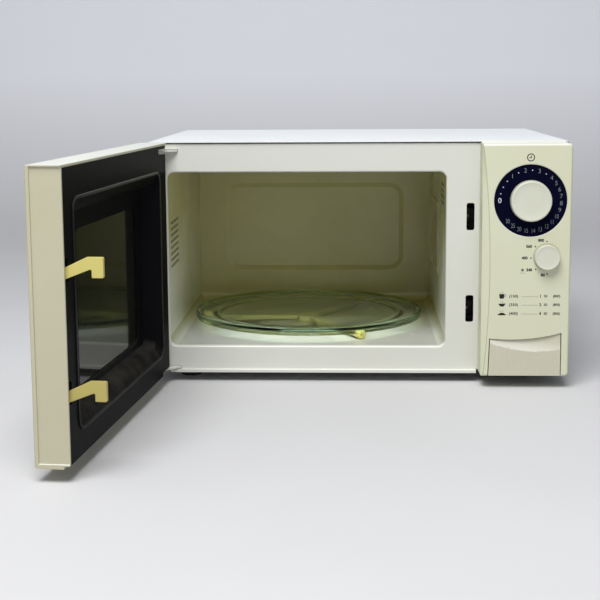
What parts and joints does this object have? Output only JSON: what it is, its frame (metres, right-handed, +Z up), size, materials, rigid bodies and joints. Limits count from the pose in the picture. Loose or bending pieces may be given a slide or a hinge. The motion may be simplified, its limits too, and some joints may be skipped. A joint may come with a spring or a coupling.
{
  "type": "microwave oven",
  "caption": "Compact countertop microwave oven with a side-hung door, push-button latch, timer and power dials, and a glass turntable in a steel cavity.",
  "frame": {"origin": "on the worktop, under the middle of the cabinet's cover", "axes": "+X to the right as seen from the front, +Y from the front to the back, +Z up"},
  "size_m": [0.499, 0.6987, 0.266],
  "materials": {
    "white_paint": "smooth gloss enamel",
    "front_paint": "smooth satin enamel",
    "cavity_enamel": "fine satin enamel",
    "zinc_steel": "galvanised sheet",
    "dark_steel": "black lacquer",
    "ivory_plastic": "fine satin moulding",
    "white_plastic": "smooth moulding",
    "navy_ring": "satin print",
    "latch_plastic": "bare nylon",
    "choke_plastic": "matt moulding",
    "dark_glass": "smoked",
    "tray_glass": "pressed glass",
    "lamp_glass": "clear",
    "foot_rubber": "matt",
    "black_plastic": "plain moulding",
    "white_nylon": "plain moulding",
    "mica": "matt sheet",
    "copper_wire": "enamelled wire",
    "fin_aluminium": "bare sheet",
    "core_steel": "varnished laminations",
    "board_green": "circuit board",
    "spring_steel": "bright wire"
  },
  "bodies": {
    "cabinet": {"outer_cover": "white_paint", "rear_panel": "zinc_steel", "base_plate": "zinc_steel", "feet": "foot_rubber", "front_plate": "front_paint", "cavity_floor": "cavity_enamel", "cavity_ceiling": "cavity_enamel", "cavity_left_wall": "cavity_enamel", "exhaust_duct": "black_plastic", "cavity_right_wall": "cavity_enamel", "cavity_back_wall": "cavity_enamel", "upper_hinge_bracket": "zinc_steel", "lower_hinge_bracket": "zinc_steel", "control_panel": "ivory_plastic", "timer_scale_ring": "navy_ring", "timer_unit": "white_nylon", "power_selector": "white_nylon", "button_spring": "spring_steel", "latch_board": "black_plastic", "primary_interlock_switch": "black_plastic", "secondary_interlock_switch": "black_plastic", "turntable_motor": "zinc_steel", "waveguide": "zinc_steel", "waveguide_cover": "mica", "magnetron_yoke": "zinc_steel", "magnetron_anode": "fin_aluminium", "transformer_core": "core_steel", "transformer_windings": "copper_wire", "hv_capacitor": "fin_aluminium", "hv_diode": "black_plastic", "fan_shroud": "white_nylon", "fan_motor": "zinc_steel", "oven_lamp": "lamp_glass", "lamp_holder": "white_nylon", "filter_board": "board_green", "thermal_cutout": "black_plastic", "cord_gland": "black_plastic", "cover_screws": "zinc_steel"},
    "door": {"door_shell": "ivory_plastic", "outer_window": "dark_glass", "window_screen": "dark_steel", "door_frame": "zinc_steel", "inner_window": "dark_glass", "choke_cover": "choke_plastic", "latch_spring": "spring_steel"},
    "latch": {"latch_head": "latch_plastic"},
    "button": {"open_button": "ivory_plastic"},
    "lever": {"open_lever": "white_nylon"},
    "timer_dial": {"timer_knob": "white_plastic"},
    "power_dial": {"power_knob": "white_plastic"},
    "turntable": {"drive_coupler": "latch_plastic", "roller_support": "latch_plastic"},
    "tray": {"glass_tray": "tray_glass"},
    "left_roller": {"roller_left": "latch_plastic"},
    "front_roller": {"roller_front": "latch_plastic"},
    "back_roller": {"roller_back": "latch_plastic"},
    "fan": {"cooling_fan": "black_plastic", "fan_shaft": "spring_steel"},
    "upper_switch_plunger": {"primary_plunger": "latch_plastic"},
    "lower_switch_plunger": {"secondary_plunger": "latch_plastic"}
  },
  "joints": [
    {"name": "door_hinge", "type": "hinge", "parent": "cabinet", "child": "door", "pos_m": [-0.219, -0.18, 0.14], "axis": [0, 0, 1], "range_deg": [-5, 95.3]},
    {"name": "latch_slide", "type": "slide", "parent": "door", "child": "latch", "axis": [0, 0, 1], "range_m": [0, 0.006], "stiffness_N_per_m": 200, "springref_m": -0.005, "deforming": ["latch_spring"]},
    {"name": "open_button_push", "type": "slide", "parent": "cabinet", "child": "button", "axis": [0, 1, 0], "range_m": [0, 0.006], "stiffness_N_per_m": 300, "springref_m": -0.004, "deforming": ["button_spring"]},
    {"name": "open_lever_turn", "type": "hinge", "parent": "cabinet", "child": "lever", "pos_m": [0.138, -0.153, 0.058], "axis": [1, 0, 0], "range_deg": [0, 27]},
    {"name": "timer_turn", "type": "hinge", "parent": "cabinet", "child": "timer_dial", "pos_m": [0.1844, -0.203, 0.2038], "axis": [0, 1, 0], "range_deg": [0, 317]},
    {"name": "power_turn", "type": "hinge", "parent": "cabinet", "child": "power_dial", "pos_m": [0.2024, -0.203, 0.144], "axis": [0, 1, 0], "range_deg": [-180, 0]},
    {"name": "turntable_spin", "type": "hinge", "parent": "cabinet", "child": "turntable", "pos_m": [-0.058, -0.0065, 0.0395], "axis": [0, 0, 1], "continuous": true},
    {"name": "tray_lift", "type": "slide", "parent": "turntable", "child": "tray", "axis": [0, 0, 1], "range_m": [0, 0.04]},
    {"name": "left_roller_spin", "type": "hinge", "parent": "turntable", "child": "left_roller", "pos_m": [-0.1825, -0.0065, 0.044], "axis": [-1, 0, 0], "continuous": true},
    {"name": "front_roller_spin", "type": "hinge", "parent": "turntable", "child": "front_roller", "pos_m": [0.00425, -0.11432, 0.044], "axis": [0.5, -0.866, 0], "continuous": true},
    {"name": "back_roller_spin", "type": "hinge", "parent": "turntable", "child": "back_roller", "pos_m": [0.00425, 0.10132, 0.044], "axis": [0.5, 0.866, 0], "continuous": true},
    {"name": "fan_spin", "type": "hinge", "parent": "cabinet", "child": "fan", "pos_m": [0.164, 0.149, 0.15], "axis": [0, 1, 0], "continuous": true},
    {"name": "upper_switch_press", "type": "slide", "parent": "cabinet", "child": "upper_switch_plunger", "axis": [0, 1, 0], "range_m": [0, 0.0015], "stiffness_N_per_m": 20, "springref_m": -0.001},
    {"name": "lower_switch_press", "type": "slide", "parent": "cabinet", "child": "lower_switch_plunger", "axis": [0, 1, 0], "range_m": [0, 0.0015], "stiffness_N_per_m": 20, "springref_m": -0.001}
  ],
  "couplings": [
    {"joint": "open_lever_turn", "follows": "open_button_push", "rad_per_m": 75},
    {"joint": "left_roller_spin", "follows": "turntable_spin", "ratio": -21.842},
    {"joint": "front_roller_spin", "follows": "turntable_spin", "ratio": -21.842},
    {"joint": "back_roller_spin", "follows": "turntable_spin", "ratio": -21.842}
  ]
}
